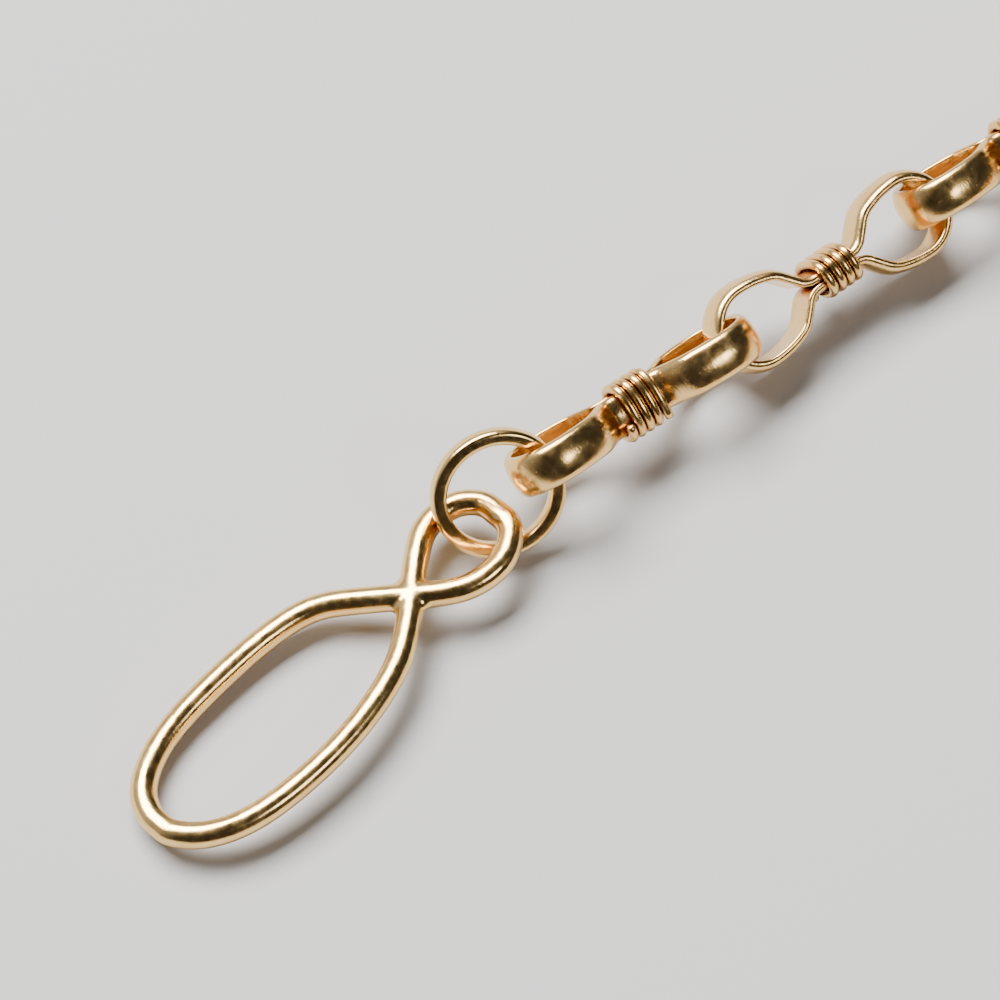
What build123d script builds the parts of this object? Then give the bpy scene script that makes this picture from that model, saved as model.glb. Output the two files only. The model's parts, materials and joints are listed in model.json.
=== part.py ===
from build123d import *
from math import cos, radians, sin, sqrt, tan
import os

# A gentleman's pocket watch chain, laid out on a flat surface.  All sizes are in millimetres.
# A formed wire loop takes the watch; a jump ring joins it to a run of long links, each a domed
# band pinched at its waist and bound there with four turns of fine wire; a second jump ring
# carries the bar that goes through a waistcoat buttonhole.
# +X runs along the watch loop from its tip to its eye, +Z is up, and the surface is z = 0.

# ---- driving dimensions -----------------------------------------------------------------------
LINK_LENGTH = 11.6          # tip to tip
BAND_WIDTH = 1.65           # across the band, along the link's own normal
BAND_THICK = 0.48           # at the crown of the dome
BAND_RIM = 0.30             # at the band's two edges
LOBE_RADIUS = 1.64          # of the band's mid-line round each end, for a quarter turn each side
SIDE_RADIUS, SIDE_SWEEP = 4.2, 20.0            # then along the flatter sides, in degrees
SHOULDER_RADIUS, SHOULDER_SWEEP = 1.3, 28.0    # and in towards the waist
NECK_RADIUS = 0.7           # where the band turns back along the waist
WAIST_GAP = 0.06            # between the two halves of the band where they meet
BIND_WIRE = 0.38            # diameter of the binding wire
BIND_TURNS = 4
BIND_PITCH = 0.40
BIND_CLEAR = 0.02
BIND_CORNER = 0.5           # bend radius of the wire's mid-line
BIND_TAIL = 0.5             # straight end left beyond the last turn

LOOP_WIRE = 1.05            # diameter of the watch loop's wire
RING_RADIUS = 2.33          # mid-line of a jump ring
RING_SECTION = 0.62         # of its metal from inside to outside
RING_WIDTH = 0.72           # and along its axis
RING_ROUNDING = 0.2

BAR_LENGTH = 29.0
BAR_RADIUS = 1.0
COLLAR_RADIUS = 1.45
COLLAR_LENGTH = 3.4
EYE_RADIUS = 1.47           # mid-line of the bar's eye
EYE_WIRE = 0.84
POST_RADIUS = 0.42
POST_DEPTH = 0.95           # of the eye's post in the collar
POST_CLEAR = 0.02

# ---- how it lies ------------------------------------------------------------------------------
CROSSING = (-5.72, -1.12, 1.29)     # where the watch loop's wire crosses itself
LOOP_TILT = 2.2                     # the eye end stands this much higher, in degrees
LOOP_ROLL = 7.8                     # and the far strand lies lower
RING_CENTRE = (-0.73, -0.69, 2.38)
RING_NORMAL = (-0.37, -0.69, 0.62)
LINK_LEAN = 34.0            # of an odd link's plane from the vertical, and of an even one's from level
AXIS_HEIGHT = 1.98          # of a link's middle, where an odd link just touches the surface
# The first three links are pulled fairly straight: the middle of each, its heading and its rise.
PULLED_LINKS = [
    ((5.64, -1.74, 2.42), -8.3, -3.0),
    ((15.32, -2.93, 2.12), -6.9, -0.6),
    ((24.99, -4.20, 2.00), -9.6, 0.0),
]
# The rest lie level and loose, in a bend that brings the chain back past itself.
LOOSE_HEADINGS = [-9.6 - 20.0 * k for k in range(1, 10)]
LOOSE_HEADINGS += [-191.0, -187.0, -189.0, -193.0, -190.0, -188.0, -191.0]
LOOSE_STEP = 1.55           # between the centres of the end arcs of two hooked links
RING_STEP = 3.05            # from the last end arc's centre to the bar's jump ring's
EYE_STEP = 2.66             # from the bar's jump ring's centre to the eye's

Z = Vector(0, 0, 1)


def turtle(start, heading, moves):
    """A smooth flat wire: each move is a straight length, or a radius and a signed turn."""
    edges = []
    point = Vector(*start)
    for move in moves:
        ahead = Vector(cos(radians(heading)), sin(radians(heading)))
        if isinstance(move, tuple):
            radius, turn = move
            edge = JernArc(point, ahead, radius, turn)
            heading += turn
        else:
            edge = Line(point, point + ahead * move)
        edges.append(edge)
        point = edge @ 1
    return edges


def rounded_route(points):
    """A wire through straight runs joined by the largest tangent arcs that its runs allow."""
    points = [Vector(*p) for p in points]
    radii = []
    for before, at, after in zip(points, points[1:], points[2:]):
        turn = radians((at - before).get_angle(after - at))
        shorter = min((at - before).length, (after - at).length)
        radii.append(0.45 * shorter / tan(turn / 2))
    return FilletPolyline(*points, radius=radii)


def tube(route, diameter):
    """A round wire along a route."""
    start = Plane(origin=route @ 0, z_dir=route % 0)
    return sweep(start * Circle(diameter / 2), path=route)


# ---- one link's band and binding, about its own centre ----------------------------------------
lobe_offset = LINK_LENGTH / 2 - BAND_THICK / 2 - LOBE_RADIUS   # centre of an end arc
waist_offset = BAND_THICK / 2 + WAIST_GAP / 2                  # mid-line of a half at the waist
neck_turn = SIDE_SWEEP + SHOULDER_SWEEP
side, full = radians(SIDE_SWEEP), radians(neck_turn)
slope_run = (
    LOBE_RADIUS
    - SIDE_RADIUS * (1 - cos(side))
    - SHOULDER_RADIUS * (cos(side) - cos(full))
    - NECK_RADIUS * (1 - cos(full))
    - waist_offset
) / sin(full)
waist_half = (
    lobe_offset
    - SIDE_RADIUS * sin(side)
    - SHOULDER_RADIUS * (sin(full) - sin(side))
    - slope_run * cos(full)
    - NECK_RADIUS * sin(full)
)


def make_band():
    into = [(LOBE_RADIUS, 90), (SIDE_RADIUS, SIDE_SWEEP), (SHOULDER_RADIUS, SHOULDER_SWEEP), slope_run]
    into.append((NECK_RADIUS, -neck_turn))
    half = into + [2 * waist_half] + into[::-1]
    moves = half + half
    path = Wire(turtle((lobe_offset + LOBE_RADIUS, 0), 90, moves))
    inner, rim, crown = -BAND_THICK / 2, -BAND_THICK / 2 + BAND_RIM, BAND_THICK / 2
    edge = BAND_WIDTH / 2
    outline = [
        Line((inner, -edge), (rim, -edge)),
        ThreePointArc((rim, -edge), (crown, 0), (rim, edge)),
        Line((rim, edge), (inner, edge)),
        Line((inner, edge), (inner, -edge)),
    ]
    section = make_face(Wire(outline))
    start = Plane(origin=(lobe_offset + LOBE_RADIUS, 0, 0), x_dir=(1, 0, 0), z_dir=(0, 1, 0))
    return sweep(start * section, path=path)


def make_binding():
    """Four turns of wire round the waist, with one cut end standing off a corner."""
    across = BAND_THICK + WAIST_GAP / 2 + BIND_WIRE / 2 + BIND_CLEAR
    along_normal = BAND_WIDTH / 2 + BIND_WIRE / 2 + BIND_CLEAR
    corners = [(-across, -along_normal), (across, -along_normal), (across, along_normal), (-across, along_normal)]
    quarter = BIND_PITCH / 4
    x = -BIND_PITCH * BIND_TURNS / 2
    points = [(x, -across, 0)]
    for k in range(4 * BIND_TURNS):
        y, z = corners[k % 4]
        points.append((x + (k + 0.5) * quarter, y, z))
    points.append((x + 4 * BIND_TURNS * quarter, -across, -BIND_TAIL))
    route = FilletPolyline(*points, radius=BIND_CORNER)
    return tube(route, BIND_WIRE)


# ---- the watch loop ---------------------------------------------------------------------------
# One wire bent into a long loop for the watch and a small eye, soldered where it crosses.
EYE_END = (4.72, 0.15)
LOOP_TIP = (-13.22, 0.2)
lower_strand = [
    EYE_END, (4.72, 0.95), (4.05, 1.72), (2.95, 1.95), (1.75, 1.62), (-1.55, -1.22), (-3.6, -2.08),
    (-6.3, -2.56), (-9.2, -2.52), (-11.1, -2.15), (-12.5, -1.35), (-13.22, -0.3), LOOP_TIP,
]
upper_strand = [
    LOOP_TIP, (-13.22, 0.75), (-12.75, 1.75), (-11.6, 2.5), (-10.0, 2.95), (-8.0, 3.1), (-5.2, 3.1), (-2.9, 2.7),
    (-1.5, 1.5), (1.0, -0.95), (2.2, -1.5), (3.4, -1.5), (4.35, -0.95), (4.72, -0.4), EYE_END,
]
SOLDER_RADIUS = 0.88
SOLDER_HEIGHT = 0.6


def make_watch_loop():
    strands = [tube(rounded_route(points), LOOP_WIRE) for points in (lower_strand, upper_strand)]
    solder = Cylinder(SOLDER_RADIUS, SOLDER_HEIGHT)
    solder = fillet(solder.edges(), SOLDER_HEIGHT / 3)
    return strands[0] + strands[1] + Pos(-0.1, 0.12, 0) * solder


# ---- jump rings and the bar -------------------------------------------------------------------
def make_ring(radius, section, width, rounding):
    """A ring about the Z axis with a rounded section."""
    profile = fillet(Rectangle(section, width).vertices(), rounding)
    return revolve(Plane.XZ * Pos(radius, 0) * profile, Axis.Z)


def make_bar():
    """A round bar along Y with domed ends and a turned collar, drilled for the eye's post."""
    bar = Rot(90, 0, 0) * fillet(Cylinder(BAR_RADIUS, BAR_LENGTH).edges(), BAR_RADIUS * 0.7)
    collar = Rot(90, 0, 0) * Cylinder(COLLAR_RADIUS, COLLAR_LENGTH)
    collar = fillet(collar.edges(), 0.3)
    hole_depth = POST_DEPTH + POST_CLEAR
    hole = Pos(-COLLAR_RADIUS + hole_depth / 2 - 0.5, 0, 0) * Rot(0, 90, 0) * Cylinder(
        POST_RADIUS + POST_CLEAR, hole_depth + 1.0
    )
    return bar + collar - hole


def make_eye():
    """The bar's eye: a ring in the XZ plane, with a post along +X towards the bar."""
    ring = Rot(90, 0, 0) * Torus(EYE_RADIUS, EYE_WIRE / 2)
    post_length = EYE_WIRE / 2 + POST_CLEAR + POST_DEPTH
    post = Pos(EYE_RADIUS + post_length / 2, 0, 0) * Rot(0, 90, 0) * Cylinder(POST_RADIUS, post_length)
    return ring + post


# ---- placing ----------------------------------------------------------------------------------
def level(heading):
    return Vector(cos(radians(heading)), sin(radians(heading)), 0)


def leaning(along, lean):
    """The direction square to along that leans this far to the left of the vertical."""
    left = Z.cross(along).normalized()
    return along.cross(left) * cos(radians(lean)) + left * sin(radians(lean))


def pulled(before, step, lean, drop, height):
    """The plane of the next piece hooked to a taut one, with its far side, drop away, at a height.

    Two rings hooked together pull along the line that is square to both normals.
    """
    centre, normal_before = before
    along = level(LOOSE_HEADINGS[-1])
    for _ in range(8):
        normal = leaning(along, lean)
        pull = normal_before.cross(normal).normalized()
        pull = pull if pull.dot(along) > 0 else pull * -1
        near = centre + pull * step
        rise = (height - near.Z) / drop
        along = level(LOOSE_HEADINGS[-1]) * sqrt(1 - rise**2) + Z * rise
    return Plane(origin=near, x_dir=along, z_dir=normal)


loop_normal = Vector(-tan(radians(LOOP_TILT)), tan(radians(LOOP_ROLL)), 1).normalized()
loop_plane = Plane(origin=CROSSING, x_dir=Vector(1, 0, tan(radians(LOOP_TILT))), z_dir=loop_normal)
ring_plane = Plane(origin=RING_CENTRE, z_dir=RING_NORMAL)

link_planes = []
for middle, heading, rise in PULLED_LINKS:
    lean = 90 - LINK_LEAN if len(link_planes) % 2 == 0 else -LINK_LEAN
    along = level(heading) * cos(radians(rise)) + Z * sin(radians(rise))
    link_planes.append(Plane(origin=middle, x_dir=along, z_dir=leaning(along, lean)))
heading_before = PULLED_LINKS[-1][1]
for heading in LOOSE_HEADINGS:
    lean = 90 - LINK_LEAN if len(link_planes) % 2 == 0 else -LINK_LEAN
    before = link_planes[-1]
    far_end = before.origin + before.x_dir * lobe_offset
    near = far_end + level((heading_before + heading) / 2) * LOOSE_STEP
    middle = near + level(heading) * lobe_offset
    middle.Z = AXIS_HEIGHT
    link_planes.append(Plane(origin=middle, x_dir=level(heading), z_dir=leaning(level(heading), lean)))
    heading_before = heading

# What each piece after the watch's jump ring hooks into: the centre and normal of an arc.
hooks = [(ring_plane.origin, ring_plane.z_dir)]
hooks += [(plane.origin + plane.x_dir * lobe_offset, plane.z_dir) for plane in link_planes]
ring_height = RING_RADIUS * sin(radians(LINK_LEAN)) + RING_SECTION / 2
bar_ring_plane = pulled(hooks[-1], RING_STEP, -LINK_LEAN, 2 * RING_RADIUS, ring_height)
hooks.append((bar_ring_plane.origin, bar_ring_plane.z_dir))
drop = EYE_RADIUS + EYE_WIRE / 2 + COLLAR_RADIUS + POST_CLEAR
hung = pulled(hooks[-1], EYE_STEP, 90, drop, COLLAR_RADIUS)
eye_plane = Plane(origin=hung.origin, x_dir=hung.x_dir, z_dir=hung.y_dir)
bar_plane = Plane(origin=hung.origin + hung.x_dir * drop, x_dir=hung.x_dir, z_dir=hung.y_dir)

band, binding = make_band(), make_binding()
parts = {"watch_loop": loop_plane.location * make_watch_loop()}
parts["watch_jump_ring"] = ring_plane.location * make_ring(RING_RADIUS, RING_SECTION, RING_WIDTH, RING_ROUNDING)
for k, plane in enumerate(link_planes, 1):
    parts[f"link_{k:02d}_band"] = plane.location * band
    parts[f"link_{k:02d}_binding"] = plane.location * binding
parts["bar_jump_ring"] = bar_ring_plane.location * make_ring(RING_RADIUS, RING_SECTION, RING_WIDTH, RING_ROUNDING)
parts["bar_eye"] = eye_plane.location * make_eye()
parts["waistcoat_bar"] = bar_plane.location * make_bar()

# The origin is under the middle of the chain's whole extent.
boxes = [solid.bounding_box() for solid in parts.values()]
low = [min(getattr(box.min, axis) for box in boxes) for axis in "XYZ"]
high = [max(getattr(box.max, axis) for box in boxes) for axis in "XYZ"]
shift = Vector(-(low[0] + high[0]) / 2, -(low[1] + high[1]) / 2, -low[2])

os.makedirs("parts", exist_ok=True)
for name, solid in parts.items():
    export_step(solid.moved(Location(shift)), f"parts/{name}.step")
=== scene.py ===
import json
import math
import random

import bpy
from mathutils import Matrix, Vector


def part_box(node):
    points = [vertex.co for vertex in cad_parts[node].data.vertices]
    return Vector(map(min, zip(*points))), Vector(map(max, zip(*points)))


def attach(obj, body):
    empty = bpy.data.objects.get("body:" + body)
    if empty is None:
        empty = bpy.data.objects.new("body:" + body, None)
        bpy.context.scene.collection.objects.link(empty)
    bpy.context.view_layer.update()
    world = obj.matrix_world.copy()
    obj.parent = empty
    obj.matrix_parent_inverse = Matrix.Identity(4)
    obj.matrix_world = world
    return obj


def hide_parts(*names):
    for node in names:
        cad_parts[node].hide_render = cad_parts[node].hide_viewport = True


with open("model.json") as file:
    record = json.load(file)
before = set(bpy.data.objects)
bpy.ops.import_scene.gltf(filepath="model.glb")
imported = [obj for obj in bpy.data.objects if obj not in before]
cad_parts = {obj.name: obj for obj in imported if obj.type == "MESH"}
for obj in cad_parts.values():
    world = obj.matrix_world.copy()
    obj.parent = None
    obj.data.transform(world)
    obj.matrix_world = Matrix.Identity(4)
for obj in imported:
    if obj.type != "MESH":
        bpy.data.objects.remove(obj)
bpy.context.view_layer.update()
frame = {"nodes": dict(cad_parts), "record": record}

MM = 0.001
UP = Vector((0, 0, 1))
rng = random.Random(1887)

# ---- sizes in millimetres and degrees; the driving ones are the CAD's -----------------------------
LINKS = 19
LINK_LENGTH = 11.6
LOBE_RADIUS, SIDE_RADIUS, SHOULDER_RADIUS, NECK_RADIUS = 1.64, 4.2, 1.3, 0.7
LOBE_SWEEP, SIDE_SWEEP, SHOULDER_SWEEP = 90.0, 20.0, 28.0
BAND_WIDTH, BAND_THICK, BAND_RIM = 1.65, 0.48, 0.30
HALF_GAP = 0.03                          # half of what parts the band's two strands at the waist
WAIST_MID = BAND_THICK / 2 + HALF_GAP
WAIST_REACH = 1.6                        # from the middle of the link to where a band may vary in full

# the band's section
INNER_HOLLOW = 0.012                     # of the inner face
CORNER_RADIUS = 0.09                     # between the inner face and the sides
SIDE_START = 0.05                        # from the corner to where the side is straight
SIDE_STOP, SIDE_DRAW = 0.06, 0.004       # short of the rim, and how far the side is drawn in there
DOME_INSET, DOME_POWER = 0.03, 0.9       # from the side's line, and how full the dome is

# how far pieces stray from true
BAND_BEND, RING_BEND, LOOP_THICKER = 0.022, 0.015, 0.012
BAND_WIDER, BAND_THICKER = 0.035, 0.05   # as parts of the band's width and thickness

# the binding wire
WIRE = 0.38
TURNS, PITCH = 4, 0.40
BINDING_HALF_Y = BAND_THICK + HALF_GAP + WIRE / 2 + 0.015
BINDING_HALF_Z = BAND_WIDTH / 2 + WIRE / 2 + 0.01
BINDING_START = 200                      # degrees round from the band's outward y
BINDING_POWER = 2 / 2.7
PITCH_JITTER = 0.025
TAIL_SHORTEST, TAIL_LONGEST, FIRST_TAIL = 0.25, 0.5, 0.55
TAIL_DROP = 0.04                         # by the end of the tail
START_RADIUS, CUT_RADIUS = WIRE * 0.36, WIRE * 0.44

# the watch loop: its formed wire as the control points of one closed smooth curve
LOOP_WIRE = 1.05
LOOP_ROUTE = [
    (4.72, 0.15), (4.72, 0.95), (4.05, 1.72), (2.95, 1.95), (1.75, 1.62),               # the eye
    (-1.55, -1.22), (-3.6, -2.08), (-6.3, -2.56), (-9.2, -2.52), (-11.1, -2.15),        # first strand
    (-12.5, -1.35), (-13.22, -0.3), (-13.22, 0.2), (-13.22, 0.75), (-12.75, 1.75),      # the tip
    (-11.6, 2.5), (-10.0, 2.95), (-8.0, 3.1), (-5.2, 3.1), (-2.9, 2.7), (-1.5, 1.5),    # second strand
    (1.0, -0.95), (2.2, -1.5), (3.4, -1.5), (4.35, -0.95), (4.72, -0.4),                # back to the eye
]
SWING_POINT = Vector((4.72, -0.18))      # of the jump ring's joint, on that curve
SOLDER_CENTRE = (-0.1, 0.12)
SOLDER_SQUASH = 0.95
SOLDER_HALF = [(0.42, 0.35), (0.34, 0.62), (0.2, 0.84)]      # height off the middle, radius there
SOLDER_RADIUS = 0.92
VOXEL = 0.075                            # that fuses the wire and the solder

# the jump rings
RING_RADIUS, RING_SECTION, RING_WIDTH = 2.33, 0.62, 0.72
RING_POWER = 0.62
RING_LAG = 20                            # points from a stray out of round to the like one out of flat

# the bar: distances from its middle, each with the radius there
BAR_HALF, BAR_RADIUS = 14.5, 1.0
BAR_END_ROUND, BAR_END_FLAT = 0.7, 0.12
BAR_ARM = [(13.0, 1.0), (10.5, 0.99), (8.0, 1.0), (5.0, 0.985), (3.0, 1.0), (2.0, 1.0), (1.78, 1.0)]
BAR_COLLAR = [
    (1.7, 1.02), (1.72, 1.28), (1.66, 1.40), (1.52, 1.45), (1.38, 1.42), (1.28, 1.34), (1.16, 1.33),
    (1.05, 1.42), (0.7, 1.45), (0.3, 1.45),
]


# ---- mesh helpers ---------------------------------------------------------------------------------
def mesh_object(name, verts, faces, material):
    """A smooth-shaded object of one material."""
    mesh = bpy.data.meshes.new(name)
    mesh.from_pydata([tuple(v) for v in verts], [], faces)
    mesh.update()
    obj = bpy.data.objects.new(name, mesh)
    bpy.context.scene.collection.objects.link(obj)
    mesh.materials.append(material)
    mesh.polygons.foreach_set("use_smooth", [True] * len(mesh.polygons))
    return obj


def skin(rows, closed):
    """Quads between successive rows of points; each row is a loop. An open skin gets flat ends."""
    n = len(rows[0])
    verts = [v for row in rows for v in row]
    faces = []
    for i in range(len(rows) if closed else len(rows) - 1):
        a, b = i * n, ((i + 1) % len(rows)) * n
        for j in range(n):
            k = (j + 1) % n
            faces.append((a + j, a + k, b + k, b + j))
    if not closed:
        faces.append(tuple(range(n))[::-1])
        faces.append(tuple(range(len(verts) - n, len(verts))))
    return verts, faces


def wobble(count, waves, size):
    """A smooth closed random profile: count values of about the given size."""
    terms = []
    for k in range(1, waves + 1):
        terms.append((k, rng.uniform(-1, 1) * size / waves**0.5, rng.uniform(0, math.tau)))
    return [sum(a * math.sin(k * math.tau * i / count + p) for k, a, p in terms) for i in range(count)]


def smooth_closed(points, steps):
    """A closed quadratic B-spline through the middles of the runs between control points."""
    points = [Vector(p) for p in points]
    out = []
    for i, corner in enumerate(points):
        start = (points[i - 1] + corner) / 2
        stop = (corner + points[(i + 1) % len(points)]) / 2
        for s in range(steps):
            t = s / steps
            out.append(start * (1 - t) ** 2 + corner * 2 * t * (1 - t) + stop * t * t)
    return out


def superellipse(angle, half_width, half_height, power):
    """A point on a rounded rectangle; a power of 1 makes it an ellipse, and a lower one squarer."""
    c, s = math.cos(angle), math.sin(angle)
    return half_width * math.copysign(abs(c) ** power, c), half_height * math.copysign(abs(s) ** power, s)


def round_tube(path, radii, sides, closed):
    """Loops of points round a 3-D path, carried along without twist."""
    count = len(path)
    rows = []
    side = None
    for i, p in enumerate(path):
        before = path[i - 1] if closed or i else path[0]
        following = path[(i + 1) % count] if closed or i < count - 1 else path[-1]
        ahead = (following - before).normalized()
        if side is None:
            side = ahead.orthogonal()
        side = (side - ahead * side.dot(ahead)).normalized()
        up = ahead.cross(side)
        row = []
        for j in range(sides):
            a = math.tau * j / sides
            row.append(p + (side * math.cos(a) + up * math.sin(a)) * radii[i])
        rows.append(row)
    return rows


class Place:
    """A piece's own frame: origin in metres, and its x, y and z directions."""

    def __init__(self, origin, x, z):
        self.o, self.z = Vector(origin), Vector(z).normalized()
        x = Vector(x)
        self.x = (x - self.z * x.dot(self.z)).normalized()
        self.y = self.z.cross(self.x)

    def at(self, p):
        """The place in the scene, in metres, of a point in this frame's millimetres."""
        return self.o + (self.x * p[0] + self.y * p[1] + self.z * p[2]) * MM


# ---- where everything is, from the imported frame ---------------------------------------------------
joints = {j["child"]: j for j in frame["record"]["behaviour"]["joints"]}
mounts = {m["name"]: m for m in frame["record"]["mounts"]}


def middle(node):
    """The middle of a CAD node's box, in metres."""
    low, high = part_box(node)
    return (Vector(low) + Vector(high)) / 2


def link_place(k):
    """A link's frame: x towards the next piece, which turns about this link's leading arc."""
    hook = joints[f"link_{k + 1:02d}" if k < LINKS else "bar_jump_ring"]
    centre = middle(f"link_{k:02d}_band")
    normal = Vector(hook["axis"])
    if normal.z < 0:
        normal = -normal
    return Place(centre, Vector(hook["pos_m"]) - centre, normal)


def ring_place(hook):
    """A jump ring's frame: the piece that hooks on it turns about the ring's own axis."""
    return Place(hook["pos_m"], (1, 0, 0), hook["axis"])


watch_ring = ring_place(joints["link_01"])
bar_ring = ring_place(joints["waistcoat_bar"])
swing = joints["watch_jump_ring"]
loop_place = Place(swing["pos_m"], swing["axis"], mounts["watch_loop_opening"]["axis"])
loop_place.o = loop_place.at((-SWING_POINT.x, -SWING_POINT.y, 0))
bar_place = Place(middle("waistcoat_bar"), mounts["bar_arm"]["axis"], UP)


# ---- materials ------------------------------------------------------------------------------------
def gold(name, fresh, worn, crevice_shade, roughness, scratch_depth):
    """Polished gilt: worn patches, fine scratches, and painted shade, a dark brown, where metal meets
    metal.
    """
    mat = bpy.data.materials.new(name)
    mat.use_nodes = True
    nt = mat.node_tree
    shader = nt.nodes["Principled BSDF"]
    shader.inputs["Metallic"].default_value = 1.0
    coords = nt.nodes.new("ShaderNodeTexCoord")

    def node(kind, **values):
        n = nt.nodes.new(kind)
        for key, value in values.items():
            n.inputs[key].default_value = value
        return n

    def noise(scale, detail, stretch=None):
        n = node("ShaderNodeTexNoise", Scale=scale, Detail=detail, Roughness=0.6)
        source = coords.outputs["Object"]
        if stretch:
            m = node("ShaderNodeMapping", Scale=stretch, Rotation=(0.3, 0.5, 0.75))
            nt.links.new(source, m.inputs["Vector"])
            source = m.outputs["Vector"]
        nt.links.new(source, n.inputs["Vector"])
        return n.outputs["Fac"]

    def ramp(source, low, high, low_colour, high_colour):
        r = nt.nodes.new("ShaderNodeValToRGB")
        first, second = r.color_ramp.elements
        first.position, second.position = low, high
        first.color, second.color = (*low_colour, 1), (*high_colour, 1)
        nt.links.new(source, r.inputs["Fac"])
        return r.outputs["Color"]

    # colour: fresh and worn patches, with painted shade that darkens the crevices the ambient occlusion
    # node finds
    crevice = node("ShaderNodeAmbientOcclusion", Distance=0.55 * MM)
    crevice.samples = 8
    mix = nt.nodes.new("ShaderNodeMix")
    mix.data_type = "RGBA"
    nt.links.new(ramp(crevice.outputs["AO"], 0.30, 0.82, (1, 1, 1), (0, 0, 0)), mix.inputs["Factor"])
    nt.links.new(ramp(noise(900.0, 4.0), 0.38, 0.68, fresh, worn), mix.inputs["A"])
    # the colour of the painted shade, mixed in where the ambient occlusion node finds a crevice
    mix.inputs["B"].default_value = (*crevice_shade, 1)
    nt.links.new(mix.outputs["Result"], shader.inputs["Base Color"])

    # roughness: finely mottled, up from the given figure
    level = nt.nodes.new("ShaderNodeMapRange")
    level.inputs["From Min"].default_value, level.inputs["From Max"].default_value = 0.3, 0.75
    level.inputs["To Min"].default_value, level.inputs["To Max"].default_value = roughness, roughness + 0.16
    nt.links.new(noise(2600.0, 5.0), level.inputs["Value"])
    nt.links.new(level.outputs["Result"], shader.inputs["Roughness"])

    # surface: slanting scratches over shallow dents
    scratches = node("ShaderNodeBump", Strength=0.25, Distance=scratch_depth * MM)
    nt.links.new(noise(1500.0, 3.0, (9.0, 1.0, 1.0)), scratches.inputs["Height"])
    dents = node("ShaderNodeBump", Strength=0.5, Distance=0.05 * MM)
    nt.links.new(noise(700.0, 2.0), dents.inputs["Height"])
    nt.links.new(scratches.outputs["Normal"], dents.inputs["Normal"])
    nt.links.new(dents.outputs["Normal"], shader.inputs["Normal"])
    return mat


# the last colour of each is the painted shade put into its crevices
gold_wire = gold("gold_wire", (0.97, 0.66, 0.25), (0.92, 0.56, 0.19), (0.40, 0.15, 0.035), 0.13, 0.02)
gold_band = gold("gold_band", (0.97, 0.65, 0.25), (0.89, 0.53, 0.18), (0.42, 0.16, 0.04), 0.15, 0.03)
binding_gold = gold("binding_gold", (0.96, 0.63, 0.23), (0.87, 0.50, 0.17), (0.28, 0.09, 0.025), 0.17, 0.02)


# ---- the links ------------------------------------------------------------------------------------
def band_path():
    """The band's closed mid-line in its own plane: points and outward directions."""
    slant = SIDE_SWEEP + SHOULDER_SWEEP                   # of the straight run down to the neck
    side_cos, slant_cos = math.cos(math.radians(SIDE_SWEEP)), math.cos(math.radians(slant))
    drop = (
        LOBE_RADIUS
        - SIDE_RADIUS * (1 - side_cos)
        - SHOULDER_RADIUS * (side_cos - slant_cos)
        - NECK_RADIUS * (1 - slant_cos)
        - WAIST_MID
    )
    x, y, facing = LINK_LENGTH / 2 - BAND_THICK / 2, 0.0, 0.0
    quarter = [(x, y, 1.0, 0.0)]

    def turn(radius, sweep, pieces):
        nonlocal x, y, facing
        for _ in range(pieces):
            step = math.radians(sweep / pieces)
            run = 2 * radius * math.sin(abs(step) / 2)
            along = facing + math.pi / 2 + step / 2
            x, y, facing = x + run * math.cos(along), y + run * math.sin(along), facing + step
            quarter.append((x, y, math.cos(facing), math.sin(facing)))

    turn(LOBE_RADIUS, LOBE_SWEEP, 20)
    turn(SIDE_RADIUS, SIDE_SWEEP, 6)
    turn(SHOULDER_RADIUS, SHOULDER_SWEEP, 6)
    third = drop / math.sin(math.radians(slant)) / 3
    for _ in range(3):                                    # the straight run
        x -= third * math.sin(facing)
        y += third * math.cos(facing)
        quarter.append((x, y, math.cos(facing), math.sin(facing)))
    turn(NECK_RADIUS, -slant, 8)
    for part in (0.66, 0.33):                             # the waist
        quarter.append((x * part, WAIST_MID, 0.0, 1.0))
    half = quarter + [(0.0, WAIST_MID, 0.0, 1.0)] + [(-px, py, -u, v) for px, py, u, v in reversed(quarter)]
    return half + [(px, -py, u, -v) for px, py, u, v in reversed(half[1:-1])]


def band_section():
    """Outward and across offsets round the band: flat inside, domed outside, soft edges."""
    inner, crown, edge = -BAND_THICK / 2, BAND_THICK / 2, BAND_WIDTH / 2
    rim = inner + BAND_RIM
    face = []
    for i in range(7):                                    # the inner face, very slightly hollow
        t = i / 6 * 2 - 1
        face.append((inner + INNER_HOLLOW * (1 - t * t), t * (edge - CORNER_RADIUS)))
    side = []
    for a in (25, 50, 75):
        c, s = math.cos(math.radians(a)), math.sin(math.radians(a))
        side.append((inner + CORNER_RADIUS * (1 - c), edge - CORNER_RADIUS * (1 - s)))
    side += [(inner + CORNER_RADIUS + SIDE_START, edge), (rim - SIDE_STOP, edge - SIDE_DRAW)]
    dome = []
    for i in range(1, 14):
        t = 1 - i / 7
        dome.append((rim + (crown - rim) * (1 - t * t) ** DOME_POWER, t * (edge - DOME_INSET)))
    return face + side + dome + [(out, -across) for out, across in reversed(side)]


def make_band(k, place, path, section):
    """One band, a little bent, wider and thicker in places."""
    bend = wobble(len(path), 5, BAND_BEND)
    wide = wobble(len(path), 6, BAND_WIDER)
    thick = wobble(len(path), 6, BAND_THICKER)
    rows = []
    for i, (x, y, u, v) in enumerate(path):
        waist = min(1.0, abs(x) / WAIST_REACH)            # the halves stay put under the binding
        row = []
        for out, across in section:
            d = out * (1 + thick[i]) + bend[i] * waist
            row.append(place.at((x + u * d, y + v * d, across * (1 + wide[i] * waist))))
        rows.append(row)
    band = mesh_object(f"Band_{k:02d}", *skin(rows, True), gold_band)
    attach(band, f"link_{k:02d}")
    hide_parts(f"link_{k:02d}_band")


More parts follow.
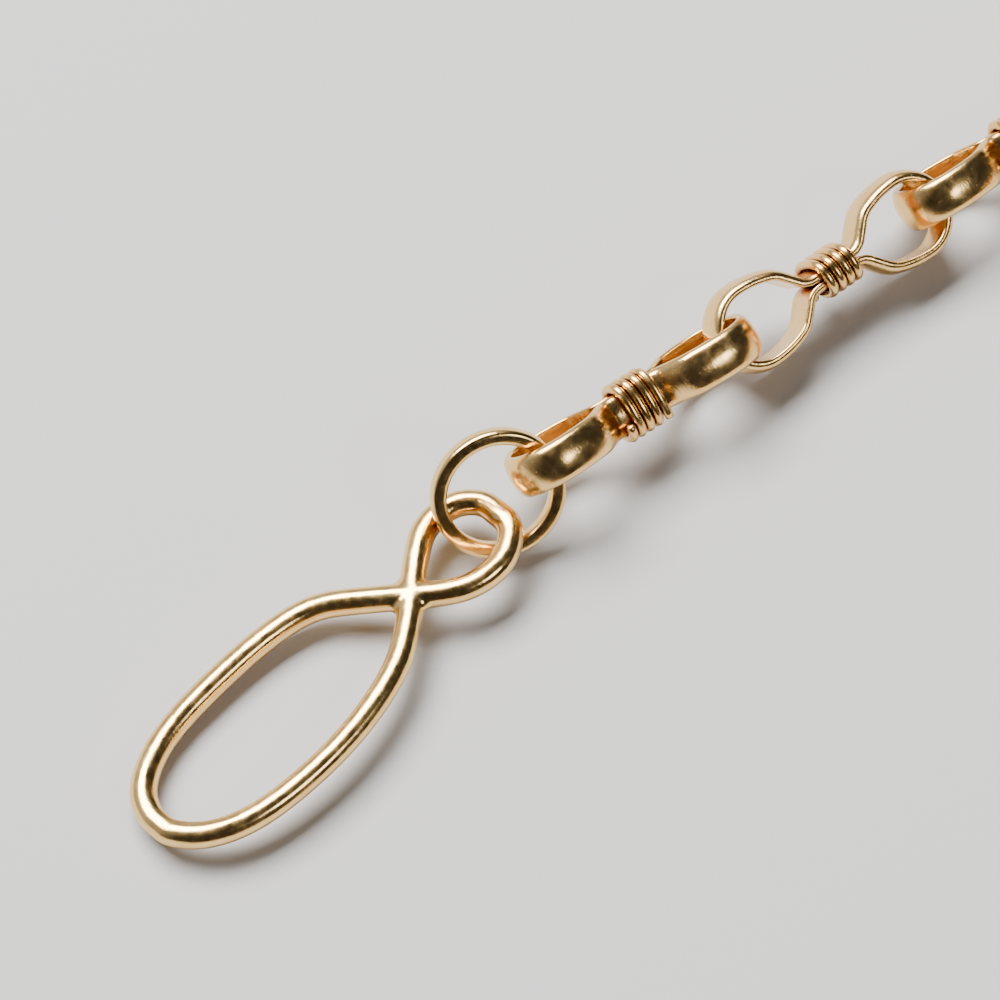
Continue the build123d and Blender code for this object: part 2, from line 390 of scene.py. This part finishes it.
def make_binding(k, place):
    """Four turns of wire laid close round the waist, with a cut end standing off a corner."""
    steps = 44
    jitter = [rng.uniform(-PITCH_JITTER, PITCH_JITTER) for _ in range(TURNS + 2)]
    route = []
    for i in range(TURNS * steps + 1):
        turn = i / steps
        angle = math.radians(BINDING_START) + math.tau * turn
        y, z = superellipse(angle, BINDING_HALF_Y, BINDING_HALF_Z, BINDING_POWER)
        whole = int(turn)
        blend = turn - whole
        x = PITCH * (turn - TURNS / 2) + jitter[whole] * (1 - blend) + jitter[whole + 1] * blend
        route.append(Vector((x, y, z)))
    end = route[-1]
    ahead = (end - route[-2]).normalized()
    tail = rng.uniform(TAIL_SHORTEST, TAIL_LONGEST) if k > 1 else FIRST_TAIL
    for part in (0.3, 0.65, 1.0):
        route.append(end + ahead * tail * part + Vector((0, 0, -TAIL_DROP * part)))
    radii = [START_RADIUS] + [WIRE / 2] * (len(route) - 2) + [CUT_RADIUS]
    rows = round_tube([place.at(p) for p in route], [r * MM for r in radii], 14, False)
    wire = mesh_object(f"Binding_{k:02d}", *skin(rows, False), binding_gold)
    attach(wire, f"link_{k:02d}")
    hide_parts(f"link_{k:02d}_binding")


def make_links():
    path, section = band_path(), band_section()
    for k in range(1, LINKS + 1):
        place = link_place(k)
        make_band(k, place, path, section)
        make_binding(k, place)


# ---- the watch loop -------------------------------------------------------------------------------
def solder_rows():
    """The disc of solder that fills the crossing."""
    sides = 32
    below = [(-height, radius) for height, radius in SOLDER_HALF]
    above = [(height, radius) for height, radius in reversed(SOLDER_HALF)]
    rows = []
    for level, radius in below + [(0.0, SOLDER_RADIUS)] + above:
        row = []
        for j in range(sides):
            a = math.tau * j / sides
            x = SOLDER_CENTRE[0] + radius * math.cos(a)
            y = SOLDER_CENTRE[1] + radius * math.sin(a) * SOLDER_SQUASH
            row.append(Vector((x, y, level)))
        rows.append(row)
    return rows


def make_watch_loop():
    """One wire and its solder, built in millimetres, fused into one smooth skin and then placed."""
    route = [Vector((p.x, p.y, 0)) for p in smooth_closed(LOOP_ROUTE, 12)]
    thick = wobble(len(route), 9, LOOP_THICKER)
    verts, faces = skin(round_tube(route, [LOOP_WIRE / 2 + t for t in thick], 28, True), True)
    solder_verts, solder_faces = skin(solder_rows(), False)
    faces += [tuple(len(verts) + v for v in face) for face in solder_faces]
    loop = mesh_object("Watch_loop", verts + solder_verts, faces, gold_wire)
    remesh = loop.modifiers.new("fuse", "REMESH")
    remesh.mode = "VOXEL"
    remesh.voxel_size = VOXEL
    remesh.use_smooth_shade = True
    settle = loop.modifiers.new("settle", "SMOOTH")
    settle.factor = 0.6
    settle.iterations = 14
    graph = bpy.context.evaluated_depsgraph_get()
    fused = bpy.data.meshes.new_from_object(loop.evaluated_get(graph))
    loop.modifiers.clear()
    loop.data = fused
    for v in fused.vertices:
        v.co = loop_place.at(v.co)
    fused.materials.clear()
    fused.materials.append(gold_wire)
    fused.polygons.foreach_set("use_smooth", [True] * len(fused.polygons))
    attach(loop, "watch_loop")
    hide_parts("watch_loop")


# ---- the jump rings -------------------------------------------------------------------------------
def make_jump_ring(name, place, body):
    """A ring of squarish wire, a little out of round and out of flat."""
    count, sides = 120, 26
    bend = wobble(count, 4, RING_BEND)
    rows = []
    for i in range(count):
        a = math.tau * i / count
        row = []
        for j in range(sides):
            out, up = superellipse(math.tau * j / sides, RING_SECTION / 2, RING_WIDTH / 2, RING_POWER)
            r = RING_RADIUS + out + bend[i]
            row.append(place.at((r * math.cos(a), r * math.sin(a), up + bend[i - RING_LAG])))
        rows.append(row)
    ring = mesh_object(name, *skin(rows, True), gold_wire)
    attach(ring, body)
    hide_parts(body)


# ---- the bar --------------------------------------------------------------------------------------
def make_bar():
    """A turned bar with domed ends and a beaded collar; its eye is the CAD's own, in the same gold."""
    sides = 48
    ends = []
    for a in (8, 25, 42, 60, 76, 88):
        c, s = math.cos(math.radians(a)), math.sin(math.radians(a))
        ends.append((BAR_HALF - BAR_END_ROUND * (1 - c), BAR_RADIUS - BAR_END_ROUND * (1 - s)))
    profile = [(BAR_HALF, BAR_END_FLAT)] + ends + BAR_ARM + BAR_COLLAR
    rows = []
    for x, r in profile + [(-x, r) for x, r in reversed(profile)]:
        angles = [math.tau * j / sides for j in range(sides)]
        rows.append([bar_place.at((x, r * math.cos(a), r * math.sin(a))) for a in angles])
    bar = mesh_object("Bar", *skin(rows, False), gold_wire)
    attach(bar, "waistcoat_bar")
    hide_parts("waistcoat_bar")
    frame["nodes"]["bar_eye"].material_slots[0].material = gold_wire


make_links()
make_watch_loop()
make_jump_ring("Watch_ring", watch_ring, "watch_jump_ring")
make_jump_ring("Bar_ring", bar_ring, "bar_jump_ring")
make_bar()


# ---- floor, camera and light ----------------------------------------------------------------------
FLOOR_HALF = 1.5                                          # metres
AZIMUTH, ELEVATION, DISTANCE = math.radians(-45.6), math.radians(62.0), 230 * MM
LENS, SENSOR = 215.3, 36
AIM_FROM_RING = Vector((0.75, 0.63, -2.38))               # millimetres from the watch ring's centre

aim = watch_ring.o + AIM_FROM_RING * MM
right = Vector((math.cos(AZIMUTH), math.sin(AZIMUTH), 0))
forward = UP.cross(right)


def make_floor():
    material = bpy.data.materials.new("pale_floor")
    material.use_nodes = True
    shader = material.node_tree.nodes["Principled BSDF"]
    shader.inputs["Base Color"].default_value = (0.50, 0.49, 0.48, 1)
    shader.inputs["Roughness"].default_value = 0.9
    s = FLOOR_HALF
    floor = mesh_object("Floor", [(-s, -s, 0), (s, -s, 0), (s, s, 0), (-s, s, 0)], [(0, 1, 2, 3)], material)


def make_camera():
    level = Vector((math.sin(AZIMUTH), -math.cos(AZIMUTH), 0))
    back = level * math.cos(ELEVATION) + UP * math.sin(ELEVATION)
    camera = bpy.data.objects.new("Camera", bpy.data.cameras.new("Camera"))
    camera.data.lens = LENS
    camera.data.sensor_width = SENSOR
    camera.data.clip_start = 0.01
    camera.location = aim + back * DISTANCE
    camera.rotation_euler = (-back).to_track_quat("-Z", "Y").to_euler()
    bpy.context.scene.collection.objects.link(camera)
    bpy.context.scene.camera = camera


def softbox(name, side, ahead, height, width, depth, watts):
    """A rectangular light over the point that the camera looks at; lengths in metres."""
    light = bpy.data.lights.new(name, "AREA")
    light.shape = "RECTANGLE"
    light.size, light.size_y, light.energy = width, depth, watts
    obj = bpy.data.objects.new(name, light)
    obj.location = aim + right * side + forward * ahead + UP * height
    obj.rotation_euler = (aim - obj.location).to_track_quat("-Z", "Y").to_euler()
    bpy.context.scene.collection.objects.link(obj)


def make_room():
    """A room bright to the upper left and behind, and dark to the lower right, so that the gilt shows
    both its broad highlights and its dark reflections."""
    world = bpy.data.worlds.new("World")
    world.use_nodes = True
    tree = world.node_tree
    direction = tree.nodes.new("ShaderNodeTexCoord")
    facing = tree.nodes.new("ShaderNodeVectorMath")
    facing.operation = "DOT_PRODUCT"
    facing.inputs[1].default_value = (forward * 0.7 - right).normalized()
    shade = tree.nodes.new("ShaderNodeValToRGB")
    dark, bright = shade.color_ramp.elements
    dark.position, dark.color = 0.05, (0.05, 0.05, 0.055, 1)
    bright.position, bright.color = 0.75, (0.85, 0.88, 0.95, 1)
    tree.links.new(direction.outputs["Generated"], facing.inputs[0])
    tree.links.new(facing.outputs["Value"], shade.inputs["Fac"])
    tree.links.new(shade.outputs["Color"], tree.nodes["Background"].inputs["Color"])
    tree.nodes["Background"].inputs["Strength"].default_value = 0.6
    bpy.context.scene.world = world


make_floor()
make_camera()
softbox("Key", side=-0.16, ahead=0.22, height=0.42, width=0.44, depth=0.26, watts=9.5)
softbox("Fill", side=0.30, ahead=-0.20, height=0.35, width=0.14, depth=0.10, watts=0.5)
make_room()

bpy.context.view_layer.update()
